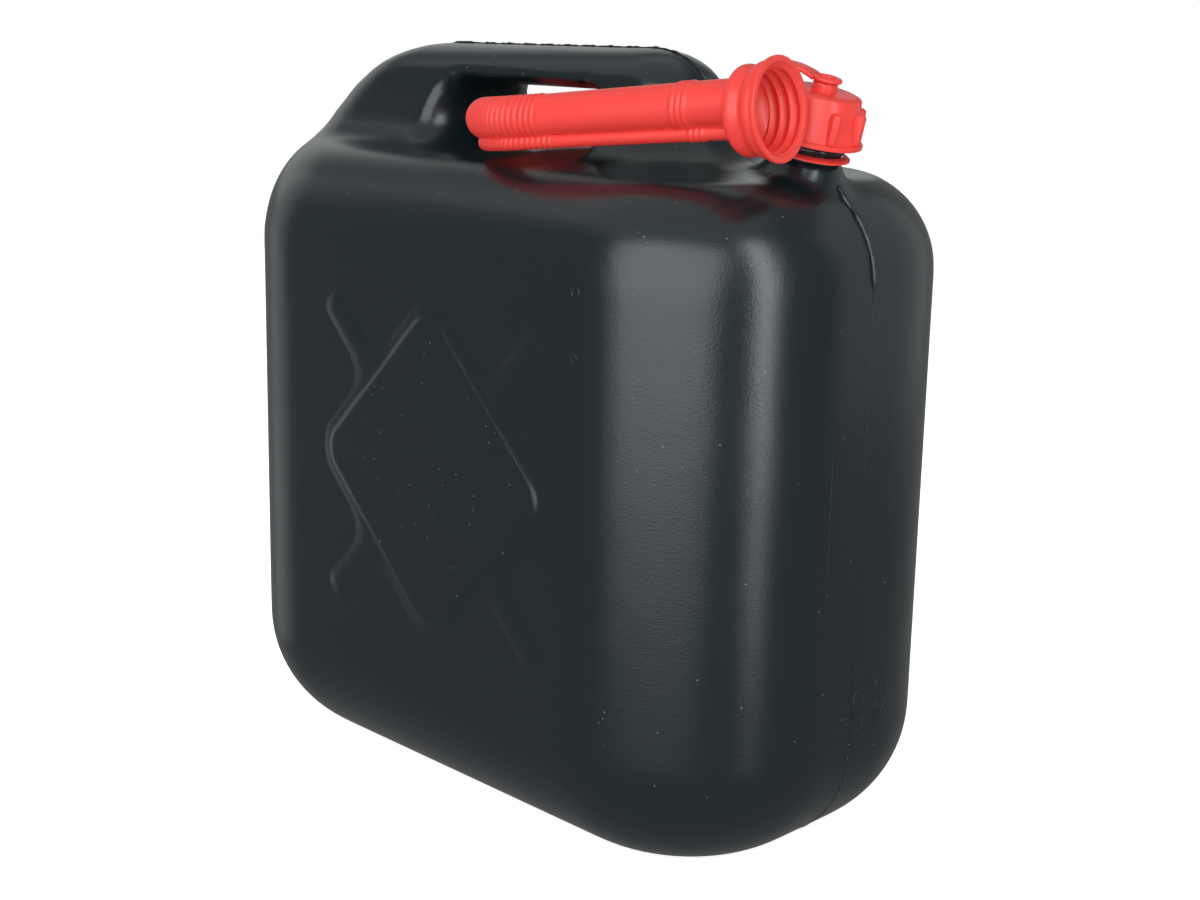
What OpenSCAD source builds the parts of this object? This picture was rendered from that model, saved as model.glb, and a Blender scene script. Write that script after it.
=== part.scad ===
// Ten litre fuel can: a blow-moulded tank with a handle through its top, a screw cap on a
// leaning neck, the cap's strap, and a flexible pouring spout stored through the handle.
// X runs along the tank towards the neck, Y across it, Z up. The base stands on Z = 0.

/* [Tank] */
// Length of the tank between its two end faces
tank_length = 300; // [270:1:340]
// Depth of the tank between its two large faces
tank_depth = 171; // [165:1:190]
// Height of the shelf that the handle and the neck stand on
shelf_height = 263; // [240:1:300]
// Radius of the four upright corners
corner_radius = 70; // [60:1:74]
// Radius of the edge round the base
base_radius = 51; // [40:1:55]
// Radius of the edge round the shelf
shoulder_radius = 38; // [34:1:42]
// How much further out each side is at the foot than at the shoulder
draft = 0.7; // [0:0.1:2]
// Thickness of the moulded wall
wall = 2.2; // [1.6:0.1:3.4]

/* [Handle] */
// Height of the handle above the shelf
handle_height = 43; // [40:1:50]
// Thickness of the grip from its underside to its top
grip_height = 16.7; // [15:0.1:20]
// Half the thickness of the rear arm at the level of the grip
rear_arm_half = 27; // [24:1:30]
// Half the thickness of the front arm at the level of the grip
front_arm_half = 22; // [20:1:26]
// How much each arm thickens from the grip down to the shelf, on each side
arm_spread = 11; // [6:1:13]
// Height of the hollow curve that leads from the shelf into the arms
foot_height = 12; // [5:1:14]
// How far that curve runs out over the shelf, on each side
foot_spread = 14; // [8:1:16]
// Length of the rounding from the rear end face to the top of the handle
rear_round_length = 74; // [60:1:80]
// Height of that rounding
rear_round_height = 69; // [58:1:74]
// Distance from the middle of the tank to the front end of the grip's flat top
grip_front = 40; // [35:1:45]
// Length of the rounding at the front of the handle
front_round_length = 31; // [26:1:36]

/* [Handle opening] */
// Rear end of the opening, measured back from the middle of the tank
opening_rear = 57; // [50:1:62]
// Front end of the opening, measured forward from the middle of the tank
opening_front = 34; // [30:1:36]
// How much higher the opening's floor is in the middle than at the shelf
floor_crown = 1.7; // [0.5:0.1:3]
// Half the width of the opening's straight middle part
straight_half = 12; // [8:1:14]
// Radius of the flare at each mouth of the opening
mouth_radius = 30; // [28:1:40]

/* [Face relief] */
// Half the diagonal of the raised diamond on each large face
diamond_half = 66; // [50:1:72]
// How far the diamond's centre is in front of the middle of the tank
diamond_x = 6; // [-10:1:20]
// Height of the diamond's centre
diamond_z = 143; // [130:1:160]
// How far the relief stands out of the face
relief_height = 1.2; // [0.6:0.1:2]
// Width of the four arms of the relief
arm_width = 9; // [6:1:14]
// Length of those arms outside the diamond
arm_reach = 36; // [20:1:38]

/* [Neck] */
// Distance from the front end face back to the neck, at the foot of the cap
neck_inset = 31; // [28:1:38]
// Height of the foot of the cap above the shelf
neck_rise = 13.3; // [12:0.1:18]
// Angle by which the neck leans forward
neck_lean = 13.6; // [0:0.1:18]
// Bore of the neck
neck_bore = 19.6; // [16:0.1:20.4]
// Wall of the neck
neck_wall = 2.1; // [1.6:0.1:2.6]
// How far the thread stands out of the neck
thread_height = 1.3; // [0.8:0.1:1.6]
// Height that the cap climbs in one turn
thread_pitch = 4.5; // [3.5:0.1:5.5]
// Length of the neck above the foot of the cap
neck_top = 10.8; // [9.5:0.1:11.5]

/* [Cap] */
// Radial gap between the cap and the neck's thread
thread_gap = 0.3; // [0.25:0.05:0.5]
// Height of the cap's wall up to the start of its chamfer
cap_wall_height = 16.9; // [16:0.1:20]
// Height of the chamfer round the cap's top
cap_chamfer = 0.8; // [0.5:0.1:1.5]
// Thickness of the cap's wall at its top
cap_wall = 1.6; // [1.4:0.1:2.2]
// Extra radius of the cap's wall at its foot
cap_taper = 2.2; // [1.5:0.1:3]
// How far the flange stands out of the cap's foot
flange_reach = 1.9; // [1:0.1:2.5]
// Thickness of the flange
flange_height = 1.7; // [1.2:0.1:2.5]
// Number of grip lugs round the cap
lug_count = 8; // [6:1:10]
// Width of a grip lug
lug_width = 5; // [3:0.1:6]
// How far a lug stands out of the cap's wall
lug_reach = 1.4; // [0.8:0.1:1.6]
// Thickness of the seal under the cap's top
seal_height = 1.5; // [1:0.1:2]

/* [Strap] */
// Radius of the hole in the strap's eyelet
eyelet_bore = 3.4; // [3:0.1:3.6]
// Width of the eyelet's rim
eyelet_rim = 2.2; // [1.5:0.1:2.6]
// Thickness of the strap
strap_height = 1.5; // [1:0.1:2]
// Width of the strap
strap_width = 5; // [4:0.1:6]
// Width of the ring that the neck wears under the cap
ring_width = 2.9; // [2:0.1:3.2]
// Direction in which the strap leaves the cap, seen from above
strap_heading = 205; // [190:1:215]
// How far the strap bows out from the neck's axis
strap_out = 26; // [24:0.5:28]

/* [Spout] */
// Length of the spout from its funnel's rim to its nozzle's end
spout_length = 240; // [225:1:250]
// Radius of the main tube beside the funnel
tube_radius = 9; // [8.5:0.1:9.2]
// Radius of the main tube in the handle opening
tube_radius_bend = 8.5; // [8:0.1:8.8]
// Radius of the air channel under the main tube
vent_radius = 2.4; // [2:0.1:2.6]
// Radius of the air channel's bore
vent_bore_radius = 1.1; // [0.8:0.1:1.3]
// Share of the air channel's radius by which its middle lies outside the main tube
vent_sink = 0.55; // [0.4:0.05:0.7]
// Wall of the spout
spout_wall = 1.3; // [1:0.1:1.6]
// Radius of the funnel's rim
funnel_radius = 18.3; // [17.8:0.1:18.8]
// Length of the funnel
funnel_length = 19; // [18:1:24]
// Where the three bands round the tube start, measured along the spout from the rim
band_start = 35; // [30:1:60]
// Distance between two of those bands
band_pitch = 2.6; // [2.2:0.1:4]
// Where the bellows start, measured along the spout from the rim
bellows_start = 102; // [98:1:108]
// Length of the bellows along the spout
bellows_length = 84; // [70:1:90]
// Distance between two folds of the bellows
fold_pitch = 2.8; // [2.6:0.1:4]
// Depth of a fold
fold_depth = 0.8; // [0.4:0.1:1]
// Radius of the spout's bend
bend_radius = 36; // [34:1:38]
// Direction in which the funnel faces, seen from above
spout_heading = 14; // [10:1:18]
// Angle by which the spout rises towards the funnel
spout_rise = 5; // [3:0.5:7]
// How far the funnel's rim is in front of the foot of the cap
funnel_ahead = 15; // [13:1:19]
// Distance of the funnel's rim from the middle plane, towards the front face
funnel_y = 37.5; // [36:0.5:42]

/* [Hidden] */
$fn = 64;

// Levels of the tank, and places along it
shoulder_base = shelf_height - shoulder_radius;
handle_top = shelf_height + handle_height;
grip_base = handle_top - grip_height;
opening_floor = shelf_height + floor_crown;
opening_height = grip_base - opening_floor;
foot_top = shelf_height + foot_height;
front_round_height = front_round_length * 0.71;
front_slope = 0.75;
front_foot = foot_spread + 12;
neck_x = tank_length / 2 - neck_inset;
funnel_x = neck_x + funnel_ahead;

// The opening's mouths: how much of the flare's radius they use, how much of it the grip's
// underside takes, and how far from the middle plane the floor's crown ends, with its least share
mouth_share = 0.86;
grip_flare = 0.9;
floor_half = 42;
floor_least = 0.03;

// Cap and neck, measured along the neck from the foot of the cap
neck_radius = neck_bore / 2 + neck_wall;
thread_radius = neck_radius + thread_height;
cap_bore = thread_radius + thread_gap;
cap_draft = 0.9;
cap_top_radius = cap_bore + cap_wall - cap_draft;
cap_foot_radius = cap_top_radius + cap_taper;
seal_gap = 0.3;
seal_fit = 0.05;
cap_roof = neck_top + seal_gap + seal_height;
cap_top = cap_wall_height + cap_chamfer;
post_gap = 0.2;
post_radius = eyelet_bore - post_gap;
post_head = 3;
post_shoulder = 1.4;
eyelet_level = cap_top + post_head + post_gap;
ring_level = -4.6;
ring_gap = 0.35;
bead_height = 0.8;
neck_bore_depth = 26;
chamfer_width = 2.6;
lug_root = 2;
lug_start = 0.35;
lug_below_top = 2.6;
ring_bore = neck_radius + ring_gap;
strap_top = eyelet_level + strap_height / 2;

// Ends and levels of the spout
vent_drop = tube_radius_bend + vent_sink * vent_radius;
floor_gap = 0.3;
bend_level = opening_floor + floor_gap + vent_drop + vent_radius + fold_depth / 2;
funnel_z = bend_level + 10.5;
tube_lift = 2.2;
spout_turn = 90 + spout_heading;
turn_length = bend_radius * spout_turn * PI / 180;
bend_from = [funnel_x - bellows_start * cos(spout_heading) * cos(spout_rise),
             -funnel_y - bellows_start * sin(spout_heading) * cos(spout_rise)];
bend_centre = bend_from + bend_radius * [-sin(spout_heading), cos(spout_heading)];
bend_start_z = funnel_z + tube_lift - bellows_start * sin(spout_rise);
fold_count = floor(bellows_length / fold_pitch);
funnel_pitch = 3.9;
bellows_end = bellows_start + bellows_length;

// Steps of the meshed curves
corner_steps = 7;
base_steps = 7;
shoulder_steps = 6;
crown_steps = 6;
small = 0.01;

// Angles at which the shoulder meets the shelf and the crown meets the flat top of the grip
shoulder_end = 74;
crown_end = 82;

// A stretch of a circle, as points
function arc(x, y, r, from, to, steps) =
    [for (i = [0:steps]) let (a = from + (to - from) * i / steps) [x + r * cos(a), y + r * sin(a)]];

// A level of the tank seen from above: its two ends, its half depth at each end and the
// radius of its corners at each end
function plan(back, front, half_back, half_front, r_back, r_front) = concat(
    arc(front - r_front, half_front - r_front, r_front, 0, 90, corner_steps),
    arc(back + r_back, half_back - r_back, r_back, 90, 180, corner_steps),
    arc(back + r_back, r_back - half_back, r_back, 180, 270, corner_steps),
    arc(front - r_front, r_front - half_front, r_front, 270, 360, corner_steps));

// The draft of the sides at a level
function side_draft(z) = draft * max(0, shoulder_base - z) / shoulder_base;

// A level of the tank's body whose sides are set in by the given amount
function body_level(z, inset) =
    let (half_l = tank_length / 2 - inset + side_draft(z),
         half_d = tank_depth / 2 - inset + side_draft(z),
         r = corner_radius - inset)
    [for (p = plan(-half_l, half_l, half_d, half_d, r, r)) [p[0], p[1], z]];

// How far the rear of the tank has curved in at a level
function rear_inset(z, skin) =
    let (rise = max(0, z - (handle_top - rear_round_height)),
         share = min(1, rise / (rear_round_height - skin)))
    rear_round_length - (rear_round_length - skin) * sqrt(max(0, 1 - share * share));

// How far forward the handle reaches at a level
function front_reach(z, skin) =
    let (rise = z - (handle_top - front_round_height),
         tall = front_round_height - skin,
         share = min(1, max(0, rise) / tall))
    grip_front + (front_round_length - skin) * sqrt(max(0, 1 - share * share)) + front_slope * max(0, -rise);

// Half the thickness of an arm at a level below the grip
function arm_half(at_grip, z) = at_grip + arm_spread * max(0, grip_base - z) / (grip_base - shelf_height);

// The rear corners' radius as a share of the half depth: it grows to a half circle up the shoulder
function rear_roundness(angle) =
    let (share = corner_radius / (tank_depth / 2)) min(0.99, share + (1.02 - share) * angle / 90);

// A level of the shoulder: the rear stays with the end face while the sides come in
function shoulder_level(angle, skin) =
    let (z = shoulder_base + (shoulder_radius - skin) * sin(angle),
         inset = shoulder_radius - (shoulder_radius - skin) * cos(angle),
         half = tank_depth / 2 - inset)
    [for (p = plan(-tank_length / 2 + max(skin, rear_inset(z, skin)), tank_length / 2 - inset, half, half,
                   half * rear_roundness(angle), corner_radius - inset))
        [p[0], p[1], z]];

// A level of the hollow curve between the shelf and the handle, from 0 at the shelf to 1
function foot_level(share, skin) =
    let (z = shelf_height - skin + foot_height * share * share,
         spread = foot_spread * pow(1 - share, 1.9),
         half_b = arm_half(rear_arm_half, z) - skin + spread,
         half_f = arm_half(front_arm_half, z) - skin + spread,
         front = front_reach(z, skin) + front_foot * pow(1 - share, 2))
    [for (p = plan(-tank_length / 2 + rear_inset(z, skin), front, half_b, half_f,
                   half_b * 0.98, half_f * 0.95))
        [p[0], p[1], z]];

// A level of the arms below the grip
function arm_level(z, skin) =
    let (half_b = arm_half(rear_arm_half, z) - skin, half_f = arm_half(front_arm_half, z) - skin)
    [for (p = plan(-tank_length / 2 + rear_inset(z, skin), front_reach(z, skin), half_b, half_f,
                   half_b * 0.95, half_f * 0.97))
        [p[0], p[1], z]];

// A level of the grip's rounded top
function crown_level(angle, skin) =
    let (z = grip_base + (grip_height - skin) * sin(angle),
         half_b = (rear_arm_half - skin) * cos(angle),
         half_f = (front_arm_half - skin) * cos(angle))
    [for (p = plan(-tank_length / 2 + rear_inset(z, skin), front_reach(z, skin), half_b, half_f,
                   half_b * 0.97, half_f * 0.98))
        [p[0], p[1], z]];

// All levels of the tank and its handle from the base up, set in by the thickness of a skin
function tank_levels(skin) = concat(
    [for (i = [0:base_steps]) let (a = 90 * i / base_steps, r = base_radius - skin)
        body_level(base_radius - r * cos(a), base_radius - r * sin(a))],
    [body_level(shoulder_base, skin)],
    [for (i = [1:shoulder_steps]) shoulder_level(shoulder_end * i / shoulder_steps, skin)],
    [for (share = [0.35, 0.6, 0.8, 1]) foot_level(share, skin)],
    [for (share = [0.35, 0.7]) arm_level(foot_top + (grip_base - foot_top) * share, skin)],
    [for (i = [0:crown_steps]) crown_level(crown_end * i / crown_steps, skin)]);

// The skin between rings of points that all have the same number of points
module rings(list) {
    n = len(list[0]);
    last = len(list) - 1;
    polyhedron(
        points = [for (ring = list) for (p = ring) p],
        faces = concat(
            [[for (j = [0:n - 1]) j]],
            [for (i = [0:last - 1]) for (j = [0:n - 1])
                [i * n + j, (i + 1) * n + j, (i + 1) * n + (j + 1) % n]],
            [for (i = [0:last - 1]) for (j = [0:n - 1])
                [i * n + j, (i + 1) * n + (j + 1) % n, i * n + (j + 1) % n]],
            [[for (j = [n - 1:-1:0]) last * n + j]]),
        convexity = 6);
}

// The outline of the handle opening at a distance from the middle plane
function opening_ring(y, grow) =
    let (out = min(max(abs(y) - straight_half, 0), mouth_radius * mouth_share),
         flare = mouth_radius - sqrt(mouth_radius * mouth_radius - out * out),
         crown = floor_crown * max(floor_least, 1 - pow(abs(y) / floor_half, 2)),
         low = shelf_height + crown - grow,
         high = grip_base + flare * grip_flare + grow,
         back = -opening_rear - flare - grow,
         front = opening_front + flare + grow,
         r = opening_height * 0.44 + flare / 2 + grow)
    [for (p = concat(arc(front - r, high - r, r, 90, 0, corner_steps),
                     arc(front - r, low + r, r, 0, -90, corner_steps),
                     arc(back + r, low + r, r, -90, -180, corner_steps),
                     arc(back + r, high - r, r, -180, -270, corner_steps)))
        [p[0], y, p[1]]];

module opening(grow) {
    near = [16, 22, 28, 34, 40, tank_depth / 2 + 6];
    steps = concat([for (i = [len(near) - 1:-1:0]) -near[i]], [0], near);
    rings([for (y = steps) opening_ring(y, grow)]);
}

// Everything that stands on the neck's axis is drawn upright and then leant forward
module on_neck() {
    translate([neck_x, 0, shelf_height + neck_rise]) rotate([0, neck_lean, 0]) children();
}

// The flared foot of the neck, its bead and the two starts of its coarse thread
module neck_outside() {
    rotate_extrude()
        polygon(concat(
            [[0, -24], [24, -19.5], [20.5, -17], [16.6, -13.6], [14.2, -10.4], [12.9, -7.6],
             [neck_radius, -6], [neck_radius, -2.9], [neck_radius + bead_height, -2.6],
             [neck_radius + bead_height, -1.5], [neck_radius, -1.2]],
            [for (turn = [0:1]) for (p = [[0, 0], [1, 0.7], [1, 1.5], [0, 2.2]])
                [neck_radius + thread_height * p[0], 1.2 + turn * thread_pitch + p[1]]],
            [[neck_radius, neck_top - 0.5], [neck_radius - 0.5, neck_top], [0, neck_top]]));
}

// The raised diamond and the four arms that leave the middles of its sides
module relief() {
    side = diamond_half * sqrt(2);
    round = 8;
    deep = 4;
    translate([diamond_x, -tank_depth / 2 - relief_height, diamond_z]) rotate([-90, 0, 0]) {
        rotate(45) linear_extrude(deep + relief_height) union() {
            square([side, side - 2 * round], center = true);
            square([side - 2 * round, side], center = true);
            for (x = [-1, 1]) for (y = [-1, 1])
                translate([x * (side / 2 - round), y * (side / 2 - round)]) circle(round);
        }
        for (a = [45:90:315]) rotate(a) translate([side / 2 - 1, -arm_width / 2, 0])
            cube([arm_reach, arm_width, deep + relief_height]);
    }
}

module canister() color([0.13, 0.14, 0.15]) difference() {
    union() {
        difference() {
            rings(tank_levels(0));
            opening(0);
        }
        on_neck() neck_outside();
        relief();
        mirror([0, 1, 0]) relief();
    }
    difference() {
        rings(tank_levels(wall));
        opening(wall);
    }
    on_neck() translate([0, 0, -neck_bore_depth])
        cylinder(h = neck_bore_depth + neck_top + 1, d = neck_bore);
}

// The cap is a cup with a flange at its foot, eight lugs and a post for the strap's eyelet
module cap() color([0.86, 0.13, 0.1]) on_neck() {
    difference() {
        union() {
            rotate_extrude() polygon([
                [0, 0], [cap_foot_radius + flange_reach, 0],
                [cap_foot_radius + flange_reach, flange_height - 0.4],
                [cap_foot_radius + flange_reach - 0.4, flange_height],
                [cap_foot_radius, flange_height], [cap_top_radius, cap_wall_height],
                [cap_top_radius - chamfer_width, cap_top], [0, cap_top]]);
            for (i = [0:lug_count - 1]) rotate(360 / lug_count * (i + lug_start))
                translate([cap_top_radius - lug_root, -lug_width / 2, flange_height - small])
                    cube([lug_root + cap_taper + lug_reach - cap_draft, lug_width,
                          cap_wall_height - flange_height - lug_below_top]);
        }
        translate([0, 0, -1]) cylinder(h = cap_roof + 1, r = cap_bore);
    }
    translate([0, 0, cap_top - small]) cylinder(h = post_head + small, r = post_radius + post_shoulder);
    translate([0, 0, cap_top + post_head - small]) cylinder(h = strap_height, r = post_radius);
}

module cap_seal() color([0.1, 0.1, 0.1]) on_neck()
    translate([0, 0, neck_top + seal_gap]) cylinder(h = seal_height, r = cap_bore - seal_fit);

// A point on a cubic curve
function curve(a, b, c, d, t) =
    pow(1 - t, 3) * a + 3 * pow(1 - t, 2) * t * b + 3 * (1 - t) * t * t * c + t * t * t * d;

// The strap's middle line in its own upright plane: distance from the neck's axis and height
strap_line = concat(
    [for (i = [0:6]) curve([eyelet_bore + 0.6, strap_top], [14, strap_top + 4],
                           [strap_out, strap_top + 3], [strap_out, 9], i / 6)],
    [for (i = [1:5]) curve([strap_out, 9], [strap_out, 0], [22, ring_level],
                           [ring_bore + 0.9, ring_level], i / 5)]);

function strap_ring(i) =
    let (a = strap_line[max(0, i - 1)], b = strap_line[min(len(strap_line) - 1, i + 1)],
         along = (b - a) / norm(b - a), p = strap_line[i],
         side = [-along[1], along[0]] * strap_height / 2)
    [for (k = [[1, -1], [-1, -1], [-1, 1], [1, 1]])
        [p[0] + side[0] * k[0], strap_width / 2 * k[1], p[1] + side[1] * k[0]]];

module cap_strap() color([0.86, 0.13, 0.1]) on_neck() {
    difference() {
        translate([0, 0, eyelet_level]) cylinder(h = strap_height, r = eyelet_bore + eyelet_rim);
        translate([0, 0, eyelet_level - 1]) cylinder(h = strap_height + 2, r = eyelet_bore);
    }
    rotate_extrude() polygon([
        [ring_bore, ring_level], [ring_bore + ring_width, ring_level - 1],
        [ring_bore + ring_width, ring_level - 0.1], [ring_bore, ring_level + 0.9]]);
    rotate(strap_heading) rings([for (i = [0:len(strap_line) - 1]) strap_ring(i)]);
}

// The spout's heading and its middle line, by the distance along it from the funnel's rim
function spout_angle(s) =
    180 + spout_heading - min(max(0, s - bellows_start), turn_length) / bend_radius * 180 / PI;
function spout_point(s) =
    let (after = s - bellows_start - turn_length, a = spout_angle(s),
         ease = min(1, max(0, (s - bellows_start) / turn_length)))
    s < bellows_start
        ? [funnel_x - s * cos(spout_heading) * cos(spout_rise),
           -funnel_y - s * sin(spout_heading) * cos(spout_rise),
           funnel_z + tube_lift - s * sin(spout_rise)]
        : concat(bend_centre + bend_radius * [-sin(a), cos(a)] + max(0, after) * [cos(a), sin(a)],
                 [bend_start_z + (bend_level - bend_start_z) * (1 - pow(1 - ease, 2))]);

function tube_radius_at(s) =
    let (share = min(1, max(0, s / bellows_start))) tube_radius + (tube_radius_bend - tube_radius) * share
    - (s > bellows_start + bellows_length ? 0.6 * (s - bellows_start - bellows_length) / 50 : 0);

// How far the middle of the air channel lies below the middle of the main tube
function vent_depth(s) = tube_radius_at(s) + vent_sink * vent_radius;

// The spout's section: a main tube with the small air channel grown onto its underside
function spout_section(s, r, v) =
    let (d = vent_depth(s),
         out_r = acos((r * r + d * d - v * v) / (2 * r * d)),
         out_v = acos((v * v + d * d - r * r) / (2 * v * d)))
    concat(arc(0, 0, r, -90 + out_r, 270 - out_r, 15), arc(0, -d, v, 90 + out_v, 450 - out_v, 7));

// A flat outline set across the spout's middle line
function across(s, outline) =
    let (p = spout_point(s), a = spout_angle(s), side = [-sin(a), cos(a), 0])
    [for (q = outline) p + q[0] * side + [0, 0, q[1]]];

function spout_ring(s, swell) =
    across(s, spout_section(s, tube_radius_at(s) + swell, vent_radius + swell * 0.6));

// Folds of the bellows, each a crest and a valley
bellows_rings = [for (i = [0:fold_count - 1]) for (k = [0, 1])
    spout_ring(bellows_start + fold_pitch * (i + 0.5 * k), fold_depth * (k - 0.5))];
spout_rings = concat(
    [spout_ring(funnel_length - 3, 0)],
    [for (i = [0:2]) for (k = [[0, 0], [0.5, 0.6], [1.3, 0.6], [1.8, 0]])
        spout_ring(band_start + band_pitch * i + k[0], k[1])],
    bellows_rings,
    [for (s = [bellows_end + 1, spout_length]) spout_ring(s, 0)]);

// Places along the spout where its two inner channels change direction or size
bore_stops = concat([funnel_length - 8, bellows_start],
                    [for (i = [1:9]) bellows_start + bellows_length * i / 9], [spout_length + 1]);
main_bore = [for (s = bore_stops)
    across(s, arc(0, 0, tube_radius_at(s) - spout_wall - fold_depth / 2, 0, 342, 19))];
vent_bore = [for (s = bore_stops) across(s, arc(0, -vent_depth(s), vent_bore_radius, 0, 300, 5))];

// The funnel's outside and inside, as radius against the distance behind the rim
module funnel_outside() {
    rotate_extrude() polygon([
        [0, 0], [funnel_radius, 0], [funnel_radius, -1.6], [funnel_radius - 1.6, -2.4],
        [funnel_radius - 1.7, -6.2], [funnel_radius - 2.4, -7.4], [funnel_radius - 3.1, -8.4],
        [funnel_radius - 3.1, -9.2], [funnel_radius - 2.2, -10.4], [funnel_radius - 2.2, -14.4],
        [funnel_radius - 3.6, -16.6], [tube_radius + 3, -funnel_length + 1.6],
        [tube_radius + 1.6, -funnel_length], [0, -funnel_length]]);
}

module funnel_inside() {
    inner = funnel_radius - 3.2;
    rotate_extrude() polygon(concat(
        [[0, 1], [inner + 0.6, 1], [inner + 0.6, -1]],
        [for (i = [0:2]) for (p = [[0, 0], [-1.2, -1], [-1.2, -1.6], [0, -2.6]])
            [inner + p[0], -1.4 - funnel_pitch * i + p[1]]],
        [[inner - 1.4, -14], [tube_radius - spout_wall, -funnel_length + 4], [0, -funnel_length + 4]]));
}

// The funnel lies on its side, its rim facing outwards and a little up
module at_funnel() {
    translate([funnel_x, -funnel_y, funnel_z]) rotate([0, 90 - spout_rise, spout_heading]) children();
}

module spout() color([0.86, 0.13, 0.1]) difference() {
    union() {
        at_funnel() funnel_outside();
        rings(spout_rings);
    }
    at_funnel() funnel_inside();
    rings(main_bore);
    rings(vent_bore);
}

canister();
cap();
cap_seal();
cap_strap();
spout();
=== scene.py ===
import math
import bpy
import numpy as np
from mathutils import Matrix, Vector


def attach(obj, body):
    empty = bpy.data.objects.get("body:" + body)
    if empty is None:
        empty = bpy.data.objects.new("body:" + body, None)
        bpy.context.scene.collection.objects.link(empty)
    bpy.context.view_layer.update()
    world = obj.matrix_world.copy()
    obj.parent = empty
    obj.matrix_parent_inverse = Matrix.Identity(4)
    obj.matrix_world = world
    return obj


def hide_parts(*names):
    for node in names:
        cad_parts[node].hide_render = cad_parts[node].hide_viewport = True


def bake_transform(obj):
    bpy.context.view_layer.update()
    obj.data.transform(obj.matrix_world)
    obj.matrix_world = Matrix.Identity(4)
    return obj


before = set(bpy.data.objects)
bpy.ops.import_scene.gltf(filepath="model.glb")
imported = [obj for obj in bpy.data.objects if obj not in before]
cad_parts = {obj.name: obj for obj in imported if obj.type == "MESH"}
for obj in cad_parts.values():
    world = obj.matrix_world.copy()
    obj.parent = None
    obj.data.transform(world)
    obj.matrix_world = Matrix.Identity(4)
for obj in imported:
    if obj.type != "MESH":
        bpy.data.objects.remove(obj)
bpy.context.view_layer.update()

# Camera: it looks a little down on the corner between the can's large face and its front end, and
# is rolled by about a degree. Sizes are in millimetres, and MM turns them into metres.
MM = 0.001
CAMERA_PLACE = Vector((524.7, -518.0, 318.4)) * MM
CAMERA_TARGET = Vector((14.58, 0, 140.52)) * MM
CAMERA_ROLL = math.radians(1.236)
camera = bpy.data.objects.new("camera", bpy.data.cameras.new("camera"))
bpy.context.collection.objects.link(camera)
camera.data.lens = 53.48
camera.data.sensor_width = 36
aim = (CAMERA_TARGET - CAMERA_PLACE).to_track_quat("-Z", "Y").to_matrix().to_4x4()
camera.matrix_world = Matrix.Translation(CAMERA_PLACE) @ aim @ Matrix.Rotation(CAMERA_ROLL, 4, "Z")
bpy.context.scene.camera = camera
bpy.context.scene.view_settings.view_transform = "Standard"

# Canister: the tank, handle and neck are one hollow moulding in black polyethylene, blown in a
# mould of two halves that meet in the plane through the handle.
TANK_LENGTH, TANK_DEPTH, SHELF_HEIGHT = 300, 171, 263
CORNER_RADIUS, BASE_RADIUS, SHOULDER_RADIUS, DRAFT = 70, 51, 38, 0.7
BASE_RADIUS_REAR, BASE_RADIUS_FRONT = 55, 49.5
SHOULDER_BASE = SHELF_HEIGHT - SHOULDER_RADIUS
HANDLE_TOP, GRIP_HEIGHT = SHELF_HEIGHT + 43, 16.7
SHOULDER_END, CROWN_END = 74, 84
GRIP_BASE = HANDLE_TOP - GRIP_HEIGHT
REAR_ARM_HALF, FRONT_ARM_HALF, ARM_SPREAD = 27, 22, 11
FOOT_HEIGHT, FOOT_SPREAD, FOOT_CURVE, FOOT_START = 12, 14, 1.9, 0.3
REAR_ROUND_LENGTH, REAR_ROUND_HEIGHT = 74, 69
REAR_ROUND_SHARE, REAR_ROUND_FULL = 1.02, 0.99
GRIP_FRONT, FRONT_ROUND_LENGTH, GRIP_SLOPE = 40, 31, 0.008
FRONT_ROUND_HEIGHT, FRONT_SLOPE, FRONT_FOOT = FRONT_ROUND_LENGTH * 0.71, 0.75, 26
FOOT_ROUNDNESS, ARM_ROUNDNESS, CROWN_ROUNDNESS = (0.82, 0.95), (0.88, 0.97), (0.94, 0.98)
GRIP_ROUND_START, GRIP_ROUND_WIDTH, GRIP_ROUND_HEIGHT = 6, 20, 8
OPENING_REAR, OPENING_FRONT, OPENING_REACH, OPENING_ROUNDNESS = 57, 34, 92, 0.49
FLOOR_CROWN, FLOOR_HALF, FLOOR_LEAST = 1.7, 42, 0.03
STRAIGHT_HALF, MOUTH_RADIUS, MOUTH_SHARE, MOUTH_END = 12, 30, 0.86, 42
GRIP_FLARE, CORNER_FLARE = 0.9, 0.5
NECK_PLACE = Vector((119, 0, SHELF_HEIGHT + 13.3))
NECK_LEAN = math.radians(13.6)
NECK_RADIUS, NECK_FOOT = 11.9, -5.6
CORNER_STEPS, MOUTH_STEPS = 20, 26
VOXEL, SMOOTHING, SMOOTHING_TIMES = 2.2, 0.5, 9


def pick(piece):
    """Select one piece alone."""
    bpy.ops.object.select_all(action="DESELECT")
    piece.select_set(True)
    bpy.context.view_layer.objects.active = piece
    return piece


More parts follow.
